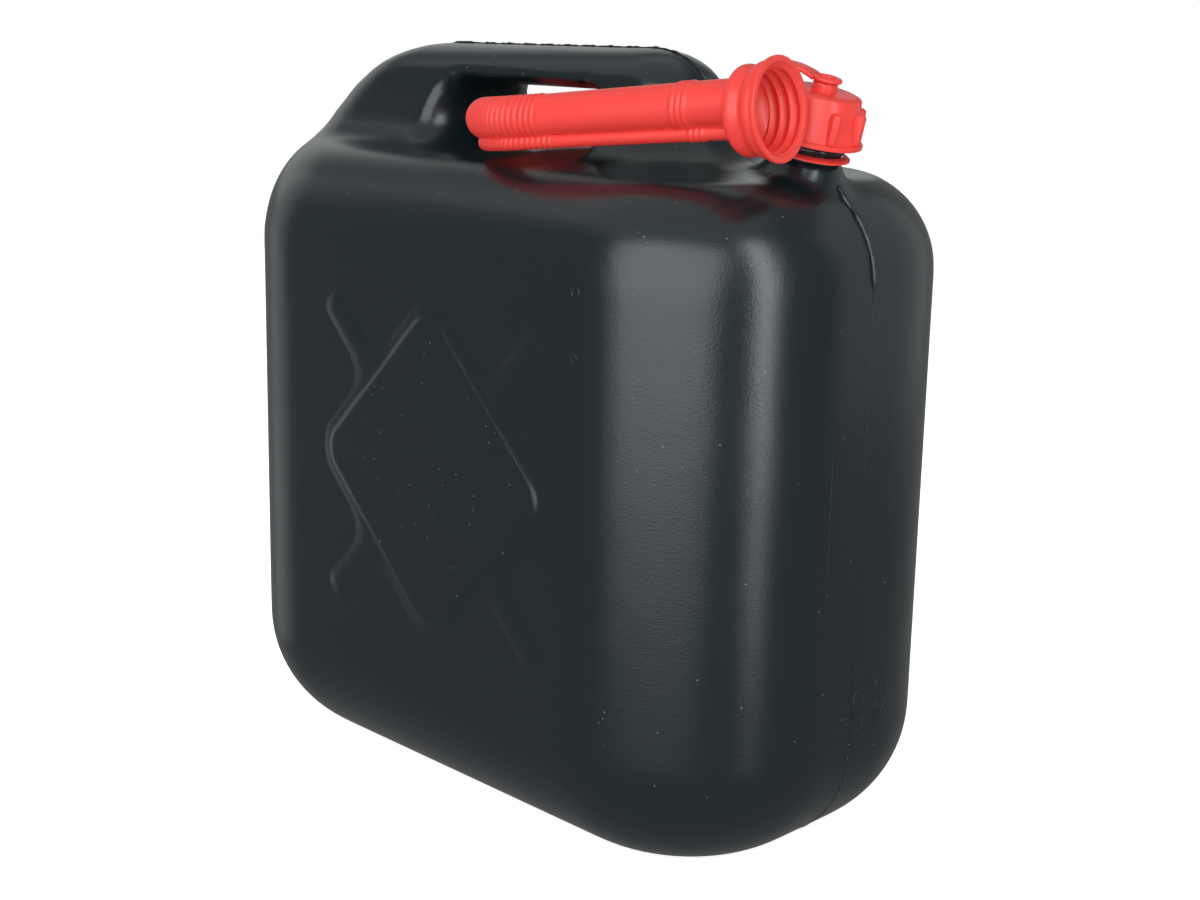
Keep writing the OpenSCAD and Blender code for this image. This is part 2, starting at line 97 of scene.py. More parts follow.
def skin(name, rings, ends=(True, True)):
    """A mesh through rings of points in millimetres, with its ends closed or open."""
    count = len(rings[0])
    points = [tuple(float(value) * MM for value in point) for ring in rings for point in ring]
    faces = [(i * count + j, i * count + (j + 1) % count,
              (i + 1) * count + (j + 1) % count, (i + 1) * count + j)
             for i in range(len(rings) - 1) for j in range(count)]
    if ends[0]:
        faces.append(tuple(reversed(range(count))))
    if ends[1]:
        faces.append(tuple((len(rings) - 1) * count + j for j in range(count)))
    mesh = bpy.data.meshes.new(name)
    mesh.from_pydata(points, [], faces)
    piece = bpy.data.objects.new(name, mesh)
    bpy.context.collection.objects.link(piece)
    pick(piece)
    bpy.ops.object.mode_set(mode="EDIT")
    bpy.ops.mesh.select_all(action="SELECT")
    bpy.ops.mesh.normals_make_consistent(inside=False)
    bpy.ops.object.mode_set(mode="OBJECT")
    return piece


def change(piece, kind, **settings):
    """Add one modifier to a piece and apply it."""
    pick(piece)
    modifier = piece.modifiers.new(kind, kind)
    for key, value in settings.items():
        setattr(modifier, key, value)
    bpy.ops.object.modifier_apply(modifier=modifier.name)


def join(main, *others):
    """Join other pieces into the main one."""
    pick(main)
    for other in others:
        other.select_set(True)
    bpy.ops.object.join()
    return main


def arc(x, y, radius, start, end, steps=CORNER_STEPS):
    """Points on an arc, from one angle in degrees to another."""
    turn = np.radians(np.linspace(start, end, steps))
    return [(x + radius * c, y + radius * s) for c, s in zip(np.cos(turn), np.sin(turn))]


def plan(back, front, half_back, half_front, round_back, round_front):
    """One level of the tank seen from above."""
    return (arc(front - round_front, half_front - round_front, round_front, 0, 90)
            + arc(back + round_back, half_back - round_back, round_back, 90, 180)
            + arc(back + round_back, round_back - half_back, round_back, 180, 270)
            + arc(front - round_front, round_front - half_front, round_front, 270, 360))


def at_height(outline, z):
    """An outline's places (x, y) as points of one level."""
    return [(x, y, z) for x, y in outline]


def base_inset(z, radius):
    """How far the rounding of the base draws the wall in at a height."""
    return radius - math.sqrt(radius ** 2 - max(0, radius - z) ** 2)


def body_level(z):
    """A level of the tank's sides; its base is a little rounder at the rear than at the front."""
    out = DRAFT * max(0, SHOULDER_BASE - z) / SHOULDER_BASE
    half_length, inset = TANK_LENGTH / 2 + out, base_inset(z, BASE_RADIUS)
    half_depth, radius = TANK_DEPTH / 2 + out - inset, CORNER_RADIUS - inset
    rear = base_inset(z, BASE_RADIUS_REAR) - half_length
    front = half_length - base_inset(z, BASE_RADIUS_FRONT)
    return at_height(plan(rear, front, half_depth, half_depth, radius, radius), z)


def rear_end(z):
    """Where the rear of the shoulder and handle lies: it follows a large round up to the grip."""
    share = min(1, max(0, z - (HANDLE_TOP - REAR_ROUND_HEIGHT)) / REAR_ROUND_HEIGHT)
    return -TANK_LENGTH / 2 + REAR_ROUND_LENGTH * (1 - math.sqrt(1 - share * share))


def handle_front(z):
    """Where the front of the handle lies: a slope up from the shelf, then a round onto the grip."""
    rise = z - (HANDLE_TOP - FRONT_ROUND_HEIGHT)
    share = min(1, max(0, rise) / FRONT_ROUND_HEIGHT)
    return GRIP_FRONT + FRONT_ROUND_LENGTH * math.sqrt(1 - share * share) + FRONT_SLOPE * max(0, -rise)


def arm_half(at_grip, z):
    """Half the width of a handle arm, which spreads on its way down."""
    return at_grip + ARM_SPREAD * max(0, GRIP_BASE - z) / (GRIP_BASE - SHELF_HEIGHT)


def shoulder_level(angle):
    """A level of the rounded shoulder, by its angle round the shoulder's arc."""
    turn = math.radians(angle)
    z = SHOULDER_BASE + SHOULDER_RADIUS * math.sin(turn)
    inset = SHOULDER_RADIUS * (1 - math.cos(turn))
    half = TANK_DEPTH / 2 - inset
    share = CORNER_RADIUS / (TANK_DEPTH / 2)
    rear_round = half * min(REAR_ROUND_FULL, share + (REAR_ROUND_SHARE - share) * angle / 90)
    return at_height(plan(rear_end(z), TANK_LENGTH / 2 - inset, half, half, rear_round,
                          CORNER_RADIUS - inset), z)


def foot_level(share):
    """A level of the handle's foot, from the shelf at 0 to the plain arms at 1."""
    z = SHELF_HEIGHT + FOOT_HEIGHT * share * share
    spread = FOOT_SPREAD * (1 - share) ** FOOT_CURVE
    rear, front = arm_half(REAR_ARM_HALF, z) + spread, arm_half(FRONT_ARM_HALF, z) + spread
    return at_height(plan(rear_end(z), handle_front(z) + FRONT_FOOT * (1 - share) ** 2, rear, front,
                          rear * FOOT_ROUNDNESS[0], front * FOOT_ROUNDNESS[1]), z)


def arm_level(z):
    """A level of the handle's arms, beside the opening."""
    rear, front = arm_half(REAR_ARM_HALF, z), arm_half(FRONT_ARM_HALF, z)
    return at_height(plan(rear_end(z), handle_front(z), rear, front,
                          rear * ARM_ROUNDNESS[0], front * ARM_ROUNDNESS[1]), z)


def crown_level(angle):
    """A level of the grip's rounded top, by its angle, with the grip's slight slope."""
    turn = math.radians(angle)
    z = GRIP_BASE + GRIP_HEIGHT * math.sin(turn)
    rear, front = REAR_ARM_HALF * math.cos(turn), FRONT_ARM_HALF * math.cos(turn)
    outline = plan(rear_end(z), handle_front(z), rear, front,
                   rear * CROWN_ROUNDNESS[0], front * CROWN_ROUNDNESS[1])
    return [(x, y, z - GRIP_SLOPE * math.sin(turn) * max(0, GRIP_FRONT - x)) for x, y in outline]


def opening_level(y):
    """The outline of the handle opening at a distance from the middle plane."""
    out = min(max(abs(y) - STRAIGHT_HALF, 0), MOUTH_RADIUS * MOUTH_SHARE)
    flare = MOUTH_RADIUS - math.sqrt(MOUTH_RADIUS ** 2 - out ** 2)
    low = SHELF_HEIGHT + FLOOR_CROWN * max(FLOOR_LEAST, 1 - (abs(y) / FLOOR_HALF) ** 2)
    under = min(1, max(0, abs(y) - GRIP_ROUND_START) / GRIP_ROUND_WIDTH)
    high = GRIP_BASE + max(flare * GRIP_FLARE, GRIP_ROUND_HEIGHT * (1 - math.sqrt(1 - under ** 2)))
    back, front = -OPENING_REAR - flare, OPENING_FRONT + flare
    radius = (GRIP_BASE - SHELF_HEIGHT - FLOOR_CROWN) * OPENING_ROUNDNESS + flare * CORNER_FLARE
    outline = (arc(front - radius, high - radius, radius, 90, 0)
               + arc(front - radius, low + radius, radius, 0, -90)
               + arc(back + radius, low + radius, radius, -90, -180)
               + arc(back + radius, high - radius, radius, -180, -270))
    return [(x, y, z) for x, z in outline]


def full_turn(steps):
    """Evenly spaced angles all the way round."""
    return np.linspace(0, 2 * math.pi, steps, endpoint=False)


def circles(profile, turn):
    """One ring of points for each (radius, height) of a profile."""
    return [[(r * math.cos(a), r * math.sin(a), h) for a in turn] for r, h in profile]


def turned(name, profile, steps=96, ends=(True, True)):
    """A turned form from a profile of (radius, height), upright on the origin."""
    return skin(name, circles(profile, full_turn(steps)), ends)


def soften(profile, times=2):
    """Round the corners of a profile by cutting them off again and again."""
    for _ in range(times):
        cut = [profile[0]]
        for a, b in zip(profile, profile[1:]):
            cut += [tuple(0.75 * p + 0.25 * q for p, q in zip(a, b)),
                    tuple(0.25 * p + 0.75 * q for p, q in zip(a, b))]
        profile = cut + [profile[-1]]
    return profile


def on_neck(piece):
    """Lean an upright piece forward onto the neck's axis."""
    lean = Matrix.Translation(NECK_PLACE * MM) @ Matrix.Rotation(NECK_LEAN, 4, "Y")
    piece.data.transform(lean)
    return piece


levels = [body_level(BASE_RADIUS * (1 - math.cos(turn))) for turn in np.radians(np.linspace(0, 90, 26))]
levels += [body_level(z) for z in np.linspace(BASE_RADIUS, SHOULDER_BASE, 14)[1:]]
levels += [shoulder_level(angle) for angle in np.linspace(0, SHOULDER_END, 20)[1:]]
levels += [foot_level(share) for share in np.linspace(FOOT_START, 1, 9)]
levels += [arm_level(z) for z in np.linspace(SHELF_HEIGHT + FOOT_HEIGHT, GRIP_BASE, 6)[1:-1]]
levels += [crown_level(angle) for angle in np.linspace(0, CROWN_END, 20)]
canister = skin("canister_body", levels)
mouth = np.linspace(GRIP_ROUND_START, MOUTH_END, MOUTH_STEPS)
opening = skin("opening", [opening_level(y) for y in
                           [-OPENING_REACH, *-mouth[::-1], 0, *mouth, OPENING_REACH]])
change(canister, "BOOLEAN", object=opening, operation="DIFFERENCE", solver="EXACT")
bpy.data.objects.remove(opening)
neck_flare = soften([(25, -20.5), (20.5, -17), (16.6, -13.6), (14.2, -10.4), (12.9, -7.6),
                     (NECK_RADIUS, NECK_FOOT)])
neck_foot = turned("neck_foot", [(18, -30)] + neck_flare + [(0.5, NECK_FOOT)])
join(canister, on_neck(neck_foot))
change(canister, "REMESH", mode="VOXEL", voxel_size=VOXEL * MM)
change(canister, "SMOOTH", factor=SMOOTHING, iterations=SMOOTHING_TIMES)
bpy.ops.object.shade_smooth()

# Relief: on each large face the mould presses out a diamond with a raised panel in it, and a
# short arm from the middle of each of the diamond's sides.
DIAMOND_X, DIAMOND_Z, DIAMOND_HALF = 6, 143, 66
PLATFORM_EDGE, PLATFORM_HEIGHT, PLATFORM_SLOPE, PLATFORM_ROUND = 4, 1.035, 7.5, 15
PANEL_HEIGHT, PANEL_SLOPE, PANEL_ROUND = 0.85, 2.2, 11
ARM_HALF, ARM_REACH, ARM_END_ROUND, ARM_FILLET = 5, 36, 4, 14
GROOVE_DEPTH, GROOVE_PLACE, GROOVE_WIDTH = 0.16, 1.6, 1.1
RELIEF_SUNK, RELIEF_RIM, RELIEF_MARGIN, RELIEF_GRID = 0.15, -0.12, 3, 1.25
PANEL_SIDE = DIAMOND_HALF / math.sqrt(2)


def rounded_box(u, v, half_u, half_v, radius):
    """Distance of points from a rectangle with round corners, negative inside it."""
    a, b = np.abs(u) - half_u + radius, np.abs(v) - half_v + radius
    return np.hypot(np.maximum(a, 0), np.maximum(b, 0)) + np.minimum(np.maximum(a, b), 0) - radius


def blended(a, b, reach):
    """The union of two forms with a round inner corner between them."""
    mix = np.clip(0.5 + 0.5 * (b - a) / reach, 0, 1)
    return b + (a - b) * mix - reach * mix * (1 - mix)


def step(distance, width):
    """From 0 outside an edge to 1 inside it, across the given width."""
    share = np.clip(0.5 - distance / width, 0, 1)
    return share * share * (3 - 2 * share)


def relief_height(u, v):
    """Height over the face, along axes that run with the diamond's sides."""
    edge = PANEL_SIDE + PLATFORM_EDGE
    reach = edge + ARM_REACH
    arms = np.minimum(rounded_box(u, v, reach, ARM_HALF, ARM_END_ROUND),
                      rounded_box(u, v, ARM_HALF, reach, ARM_END_ROUND))
    platform = blended(rounded_box(u, v, edge, edge, PLATFORM_ROUND), arms, ARM_FILLET)
    panel = rounded_box(u, v, PANEL_SIDE, PANEL_SIDE, PANEL_ROUND)
    groove = GROOVE_DEPTH * np.exp(-((panel - GROOVE_PLACE) / GROOVE_WIDTH) ** 2)
    return (PLATFORM_HEIGHT * step(platform, PLATFORM_SLOPE) - RELIEF_SUNK
            + PANEL_HEIGHT * step(panel, PANEL_SLOPE) - groove)


def relief(name, side):
    """The relief of one large face, as a skin whose rim lies within the wall."""
    span = PANEL_SIDE + PLATFORM_EDGE + ARM_REACH + RELIEF_MARGIN
    lines = np.arange(-span, span + RELIEF_GRID, RELIEF_GRID)
    u, v = np.meshgrid(lines, lines)
    height = relief_height(u, v)
    x, z = DIAMOND_X + (u - v) / math.sqrt(2), DIAMOND_Z + (u + v) / math.sqrt(2)
    face = TANK_DEPTH / 2 + DRAFT * np.maximum(0, SHOULDER_BASE - z) / SHOULDER_BASE
    y = side * (face + height)
    count = len(lines)
    points = np.stack([x, y, z], 2).reshape(-1, 3) * MM
    shown = height > RELIEF_RIM
    faces = [(i * count + j, i * count + j + 1, (i + 1) * count + j + 1, (i + 1) * count + j)
             for i in range(count - 1) for j in range(count - 1) if shown[i:i + 2, j:j + 2].any()]
    if side > 0:
        faces = [face[::-1] for face in faces]
    mesh = bpy.data.meshes.new(name)
    mesh.from_pydata(points.tolist(), [], faces)
    piece = bpy.data.objects.new(name, mesh)
    bpy.context.collection.objects.link(piece)
    pick(piece)
    bpy.ops.object.mode_set(mode="EDIT")
    bpy.ops.mesh.select_all(action="SELECT")
    bpy.ops.mesh.delete_loose()
    bpy.ops.object.mode_set(mode="OBJECT")
    bpy.ops.object.shade_smooth()
    return piece


join(canister, relief("relief_front", -1), relief("relief_back", 1))

# Parting line: where the mould's halves meet, the wall carries a thin ridge all the way round. It
# is thickest on the grip and on the shoulder under the cap, where the flash was trimmed by hand.
RIDGE, SHOULDER_RIDGE, FAINT, UNEVEN = 0.55, 1.0, 0.15, 0.25
GRIP_RIDGE_HALF, GRIP_RIDGE_LOW = 78, 270
SHOULDER_RIDGE_BACK, SHOULDER_RIDGE_LOW = 120, 227
BEAD_LIFT, BEAD_CORNERS, BEAD_SUNK, BEAD_LOWEST = 0.3, 8, 0.1, 0.05
REAR_TOP, FRONT_TOP, SHOULDER_MIDDLE = (-70, 232), (36, 280), (105, 225)
BASE_REAR, BASE_FRONT, OUTSIDE = (-90, 60), (90, 60), 220


def surface(start, direction):
    """Where a line first meets the canister, in millimetres."""
    _, place, normal, _ = canister.ray_cast(Vector(start) * MM, Vector(direction).normalized())
    return place / MM, normal


def towards(x, z, angle, reach=170):
    """The place met on the way to a point of the middle plane."""
    a = math.radians(angle)
    return surface((x + reach * math.cos(a), 0, z + reach * math.sin(a)), (-math.cos(a), 0, -math.sin(a)))


def bead(name, places, radii, closed=False):
    """A thin round ridge along places on the surface."""
    last = len(places) - 1
    rings = []
    for i, (place, normal) in enumerate(places):
        before = places[i - 1 if i or closed else 0][0]
        after = places[(i + 1) % (last + 1) if i < last or closed else last][0]
        side = (after - before).cross(normal).normalized()
        rings.append([place + radii[i] * (math.cos(a) * side + (BEAD_LIFT + math.sin(a)) * normal)
                      for a in full_turn(BEAD_CORNERS)])
    if closed:
        rings.append(rings[0])
    return skin(name, rings, (not closed, not closed))


# The line runs up the rear end, over the handle, past the neck, down the front end and back along
# the base.
seam = [surface((-OUTSIDE, 0, z), (1, 0, 0)) for z in np.arange(60, 232, 6)]
seam += [towards(*REAR_TOP, angle) for angle in np.arange(178, 95, -2)]
seam += [surface((x, 0, 340), (0, 0, -1)) for x in np.arange(-68, 36, 2)]
seam += [towards(*FRONT_TOP, angle) for angle in np.arange(88, 4, -3)]
seam += [surface((x, 0, 276), (0, 0, -1)) for x in np.arange(79, 97, 2)]
seam += [towards(*SHOULDER_MIDDLE, angle) for angle in np.arange(52, 2, -1)]
seam += [surface((OUTSIDE, 0, z), (-1, 0, 0)) for z in np.arange(224, 56, -6)]
seam += [towards(*BASE_FRONT, angle) for angle in np.arange(-2, -90, -6)]
seam += [surface((x, 0, -40), (0, 0, 1)) for x in np.arange(88, -88, -8)]
seam += [towards(*BASE_REAR, angle) for angle in np.arange(-92, -180, -6)]


def seam_radius(place):
    """How thick the ridge is at a place: rough on the grip and the shoulder, faint elsewhere."""
    rough = UNEVEN * math.sin(0.9 * place.x) * math.sin(0.37 * place.x + 0.5 * place.z)
    if place.x > SHOULDER_RIDGE_BACK and place.z > SHOULDER_RIDGE_LOW:
        return SHOULDER_RIDGE + rough
    on_grip = place.z > GRIP_RIDGE_LOW and -GRIP_RIDGE_HALF < place.x < GRIP_RIDGE_HALF
    return RIDGE + rough if on_grip else FAINT


line = bead("parting_line", seam, [seam_radius(place) for place, _ in seam])
line.data.transform(Matrix.Translation((0, 0, -BEAD_SUNK * MM)))
for vertex in line.data.vertices:
    vertex.co.z = max(vertex.co.z, BEAD_LOWEST * MM)
bpy.ops.object.shade_smooth()

# Marks of the mould: on the front end face an empty frame and a plain dial with ticks, both
# pressed out as fine lines, and on the large face a small ring and a small square.
marks = []


def end_line(name, outline, radius, closed=True):
    """A fine raised line on the front end face, from places (y, z)."""
    places = [surface((OUTSIDE, y, z), (-1, 0, 0)) for y, z in outline]
    marks.append(bead(name, places, [radius] * len(places), closed))


def ring_outline(y, z, radius, steps=40):
    """Places on a circle round a middle."""
    return [(y + radius * math.cos(a), z + radius * math.sin(a)) for a in full_turn(steps)]


FRAME_BACK, FRAME_FRONT, FRAME_LOW, FRAME_HIGH = 18, -18.8, 90, 166.5
DIAL_Y, DIAL_Z, DIAL_RADIUS, DIAL_INNER = 11.5, 65.5, 10.4, 4.6
TICKS, TICK_START, TICK_END = 12, 7, 8.8
FRAME_LINE, DIAL_LINE, INNER_LINE, TICK_LINE, MARK_LINE = 0.11, 0.13, 0.1, 0.2, 0.22
MARK_X, RING_MARK, SQUARE_MARK = 84.9, (223.7, 1.7, 12), (200.4, 1.5, 4)
frame_line = [(y, FRAME_HIGH) for y in np.linspace(FRAME_FRONT, FRAME_BACK, 12)]
frame_line += [(FRAME_BACK, z) for z in np.linspace(FRAME_HIGH, FRAME_LOW, 24)[1:]]
frame_line += [(y, FRAME_LOW) for y in np.linspace(FRAME_BACK, FRAME_FRONT, 12)[1:]]
frame_line += [(FRAME_FRONT, z) for z in np.linspace(FRAME_LOW, FRAME_HIGH, 24)[1:-1]]
end_line("label_frame", frame_line, FRAME_LINE)
end_line("date_dial", ring_outline(DIAL_Y, DIAL_Z, DIAL_RADIUS), DIAL_LINE)
end_line("date_dial_inner", ring_outline(DIAL_Y, DIAL_Z, DIAL_INNER, 24), INNER_LINE)
for a in full_turn(TICKS):
    tick = [(DIAL_Y + r * math.cos(a), DIAL_Z + r * math.sin(a)) for r in (TICK_START, TICK_END)]
    end_line("date_tick", tick, TICK_LINE, False)
for z, radius, corners in (RING_MARK, SQUARE_MARK):
    mark = ring_outline(MARK_X, z, radius, corners)
    places = [surface((x, -OUTSIDE, height), (0, 1, 0)) for x, height in mark]
    marks.append(bead("face_mark", places, [MARK_LINE] * corners, True))
join(canister, line, *marks)

# Black polyethylene: semi-matte, with the fine grain of a blasted mould, an uneven gloss and a
# little dust. The red plastic and the rubber are made the same way, without the dust.
BLACK = (0.006, 0.0118, 0.0145, 1)
DUST = (0.16, 0.17, 0.17, 1)


def grain_group():
    """Fine mould grain as a normal, over a slow unevenness of the wall."""
    group = bpy.data.node_groups.new("mould_grain", "ShaderNodeTree")
    socket = group.interface.new_socket
    socket("Vector", in_out="INPUT", socket_type="NodeSocketVector")
    socket("Scale", in_out="INPUT", socket_type="NodeSocketFloat")
    socket("Height", in_out="INPUT", socket_type="NodeSocketFloat")
    socket("Normal", in_out="OUTPUT", socket_type="NodeSocketVector")
    socket("Mottle", in_out="OUTPUT", socket_type="NodeSocketFloat")
    nodes, links = group.nodes, group.links
    source, result = nodes.new("NodeGroupInput"), nodes.new("NodeGroupOutput")
    fine, slow = nodes.new("ShaderNodeTexNoise"), nodes.new("ShaderNodeTexNoise")
    fine.inputs["Detail"].default_value = 2
    slow.inputs["Scale"].default_value = 22
    slow.inputs["Detail"].default_value = 2
    bump, wave = nodes.new("ShaderNodeBump"), nodes.new("ShaderNodeBump")
    bump.inputs["Distance"].default_value = 0.0004
    wave.inputs["Distance"].default_value = 0.0012
    wave.inputs["Strength"].default_value = 0.25
    links.new(source.outputs["Vector"], fine.inputs["Vector"])
    links.new(source.outputs["Vector"], slow.inputs["Vector"])
    links.new(source.outputs["Scale"], fine.inputs["Scale"])
    links.new(source.outputs["Height"], bump.inputs["Strength"])
    links.new(fine.outputs["Fac"], bump.inputs["Height"])
    links.new(slow.outputs["Fac"], wave.inputs["Height"])
    links.new(wave.outputs["Normal"], bump.inputs["Normal"])
    links.new(bump.outputs["Normal"], result.inputs["Normal"])
    links.new(slow.outputs["Fac"], result.inputs["Mottle"])
    return group


def dust_group():
    """Sparse small specks as a mask."""
    group = bpy.data.node_groups.new("dust_specks", "ShaderNodeTree")
    socket = group.interface.new_socket
    socket("Vector", in_out="INPUT", socket_type="NodeSocketVector")
    socket("Scale", in_out="INPUT", socket_type="NodeSocketFloat")
    socket("Size", in_out="INPUT", socket_type="NodeSocketFloat")
    socket("Mask", in_out="OUTPUT", socket_type="NodeSocketFloat")
    nodes, links = group.nodes, group.links
    source, result = nodes.new("NodeGroupInput"), nodes.new("NodeGroupOutput")
    cells = nodes.new("ShaderNodeTexVoronoi")
    near, some, both = (nodes.new("ShaderNodeMath") for _ in range(3))
    near.operation, some.operation, both.operation = "LESS_THAN", "GREATER_THAN", "MULTIPLY"
    some.inputs[1].default_value = 0.7
    links.new(source.outputs["Vector"], cells.inputs["Vector"])
    links.new(source.outputs["Scale"], cells.inputs["Scale"])
    links.new(cells.outputs["Distance"], near.inputs[0])
    links.new(source.outputs["Size"], near.inputs[1])
    links.new(cells.outputs["Color"], some.inputs[0])
    links.new(near.outputs[0], both.inputs[0])
    links.new(some.outputs[0], both.inputs[1])
    links.new(both.outputs[0], result.inputs["Mask"])
    return group


MOULD_GRAIN, DUST_SPECKS = grain_group(), dust_group()


def plastic(name, colour, rough, specular, grain_scale, grain_height, dust=None, mottle=0.04):
    """A moulded plastic with grain, uneven gloss and, where it is given, a colour of dust."""
    material = bpy.data.materials.new(name)
    material.use_nodes = True
    nodes, links = material.node_tree.nodes, material.node_tree.links
    shader = nodes["Principled BSDF"]
    place = nodes.new("ShaderNodeTexCoord").outputs["Object"]
    grain = nodes.new("ShaderNodeGroup")
    grain.node_tree = MOULD_GRAIN
    grain.inputs["Scale"].default_value = grain_scale
    grain.inputs["Height"].default_value = grain_height
    links.new(place, grain.inputs["Vector"])
    links.new(grain.outputs["Normal"], shader.inputs["Normal"])
    gloss = nodes.new("ShaderNodeMapRange")
    gloss.inputs["To Min"].default_value = rough - mottle
    gloss.inputs["To Max"].default_value = rough + mottle
    links.new(grain.outputs["Mottle"], gloss.inputs["Value"])
    links.new(gloss.outputs["Result"], shader.inputs["Roughness"])
    tint = nodes.new("ShaderNodeMix")
    tint.data_type = "RGBA"
    tint.inputs["A"].default_value = colour
    tint.inputs["B"].default_value = dust or tuple(0.93 * c for c in colour[:3]) + (1,)
    specks = nodes.new("ShaderNodeGroup")
    specks.node_tree = DUST_SPECKS
    specks.inputs["Scale"].default_value = 230
    specks.inputs["Size"].default_value = 0.066
    links.new(place, specks.inputs["Vector"])
    links.new((specks.outputs["Mask"] if dust else grain.outputs["Mottle"]), tint.inputs["Factor"])
    links.new(tint.outputs["Result"], shader.inputs["Base Color"])
    shader.inputs["Specular IOR Level"].default_value = specular
    return material


black_plastic = plastic("black_polyethylene", BLACK, rough=0.22, specular=0.6, grain_scale=1500,
                        grain_height=0.16, dust=DUST)


def finish(piece, material, node, body="can"):
    """Give a piece its material, and let it stand for its CAD node on that node's body."""
    piece.data.materials.clear()
    piece.data.materials.append(material)
    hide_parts(node)
    if body:
        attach(piece, body)


finish(canister, black_plastic, "canister")

# Neck: the bead and the coarse thread that the cap screws onto. They are black polyethylene,
# moulded in one with the tank, and they lean forward with the neck.
NECK_TOP, NECK_BORE_RADIUS, NECK_BORE_BOTTOM, NECK_EDGE = 10.8, 9.8, -18, 0.4
THREAD_HEIGHT, THREAD_PITCH, THREAD_START, THREAD_TURNS, THREAD_FULLNESS = 1.3, 4.5, 1.2, 2, 1.6
NECK_BEAD = 0.9
neck_turn = full_turn(96)


def thread_radius(height, turn):
    """The neck's radius with its thread, at a height and an angle."""
    rise = height - THREAD_START
    start = (rise - THREAD_PITCH * turn / (2 * math.pi)) / THREAD_PITCH
    inside = 0 <= rise <= THREAD_TURNS * THREAD_PITCH
    wave = 0.5 + 0.5 * math.cos(2 * math.pi * (start - 0.5))
    return NECK_RADIUS + (THREAD_HEIGHT * min(1, THREAD_FULLNESS * wave ** 2) if inside else 0)


neck_rings = circles(soften([(NECK_RADIUS - 0.4, -7.5), (NECK_RADIUS, NECK_FOOT), (NECK_RADIUS, -3.1),
                             (NECK_RADIUS + NECK_BEAD, -2.7), (NECK_RADIUS + NECK_BEAD, -1.5),
                             (NECK_RADIUS, -1.1), (NECK_RADIUS, 0.6)], 1), neck_turn)
for h in np.arange(0.8, NECK_TOP - NECK_EDGE, 0.3):
    radii = [thread_radius(h, a) for a in neck_turn]
    neck_rings.append([(r * math.cos(a), r * math.sin(a), h) for r, a in zip(radii, neck_turn)])
neck_rings += circles([(NECK_RADIUS, NECK_TOP - NECK_EDGE), (NECK_RADIUS - NECK_EDGE, NECK_TOP),
                       (NECK_BORE_RADIUS, NECK_TOP), (NECK_BORE_RADIUS, NECK_BORE_BOTTOM),
                       (0.4, NECK_BORE_BOTTOM)], neck_turn)
neck = on_neck(skin("neck_thread", neck_rings))
bpy.ops.object.shade_smooth_by_angle(angle=math.radians(35))
finish(neck, black_plastic, "canister")

# Cap: a moulded cup of red polyethylene with a flange at its foot, eight tall grip lugs and a
# hollow post for the strap's eyelet. It screws onto the neck.
RED = (0.86, 0.05, 0.04, 1)
FLANGE_RADIUS, CAP_FOOT_RADIUS, CAP_TOP_RADIUS = 18.3, 16.4, 14.2
CAP_WALL_HEIGHT, CAP_TOP = 16.9, 17.7
CAP_BORE, CAP_ROOF = 13.5, 12.6
POST_RADIUS, POST_HEAD = 3.2, 3
POST_SHOULDER, POST_HOLLOW, POST_PIN = CAP_TOP + POST_HEAD, 1.4, 0.9
LUG_COUNT, LUG_DEPTH, LUG_WIDTH, LUG_HEIGHT = 8, 4.6, 3.6, 11.6
LUG_START, LUG_INSET, LUG_ROUND, LUG_TURN = 1.5, 0.7, 1.3, 0.35
red_plastic = plastic("red_polyethylene", RED, rough=0.34, specular=0.5, grain_scale=900,
                      grain_height=0.06, mottle=0.05)
cap = turned("cap_shell", [(0.3, CAP_ROOF), (CAP_BORE, CAP_ROOF), (CAP_BORE, 0.2), (CAP_BORE + 0.2, 0),
                           (FLANGE_RADIUS - 0.2, 0), (FLANGE_RADIUS, 0.2), (FLANGE_RADIUS, 1.3),
                           (FLANGE_RADIUS - 0.35, 1.7), (CAP_FOOT_RADIUS + 0.3, 1.8),
                           (CAP_FOOT_RADIUS, 2.2), (CAP_TOP_RADIUS + 0.05, CAP_WALL_HEIGHT - 0.4),
                           (CAP_TOP_RADIUS - 0.25, CAP_WALL_HEIGHT), (CAP_TOP_RADIUS - 2.2, CAP_TOP - 0.1),
                           (CAP_TOP_RADIUS - 2.9, CAP_TOP), (0.3, CAP_TOP)], 128)
bpy.ops.object.shade_smooth_by_angle(angle=math.radians(32))
post = turned("cap_post", soften([
    (0.3, POST_SHOULDER - POST_HOLLOW), (0.3, CAP_TOP - 0.5), (POST_RADIUS + 1.6, CAP_TOP - 0.5),
    (POST_RADIUS + 1.4, CAP_TOP + 0.4), (POST_RADIUS + 1.4, POST_SHOULDER),
    (POST_RADIUS, POST_SHOULDER + 0.1), (POST_RADIUS, POST_SHOULDER + POST_PIN),
    (POST_RADIUS - 0.6, POST_SHOULDER + POST_PIN), (POST_RADIUS - 0.8, POST_SHOULDER - POST_HOLLOW),
    (0.3, POST_SHOULDER - POST_HOLLOW)], 1), 48)
bpy.ops.object.shade_smooth_by_angle(angle=math.radians(40))
lugs = []
for i in range(LUG_COUNT):
    bpy.ops.object.select_all(action="DESELECT")
    bpy.ops.mesh.primitive_cube_add(size=MM)
    lug = bpy.context.object
    lug.scale = (LUG_DEPTH, LUG_WIDTH, LUG_HEIGHT)
    lug.location = Vector((CAP_FOOT_RADIUS - LUG_INSET, 0, LUG_START + LUG_HEIGHT / 2)) * MM
    bpy.ops.object.transform_apply(location=True, rotation=False, scale=True)
    change(lug, "BEVEL", width=LUG_ROUND * MM, segments=5, limit_method="ANGLE")
    bpy.ops.object.shade_smooth_by_angle(angle=math.radians(40))
    lug.data.transform(Matrix.Rotation(2 * math.pi * (i + LUG_TURN) / LUG_COUNT, 4, "Z"))
    lugs.append(lug)
join(cap, post, *lugs)
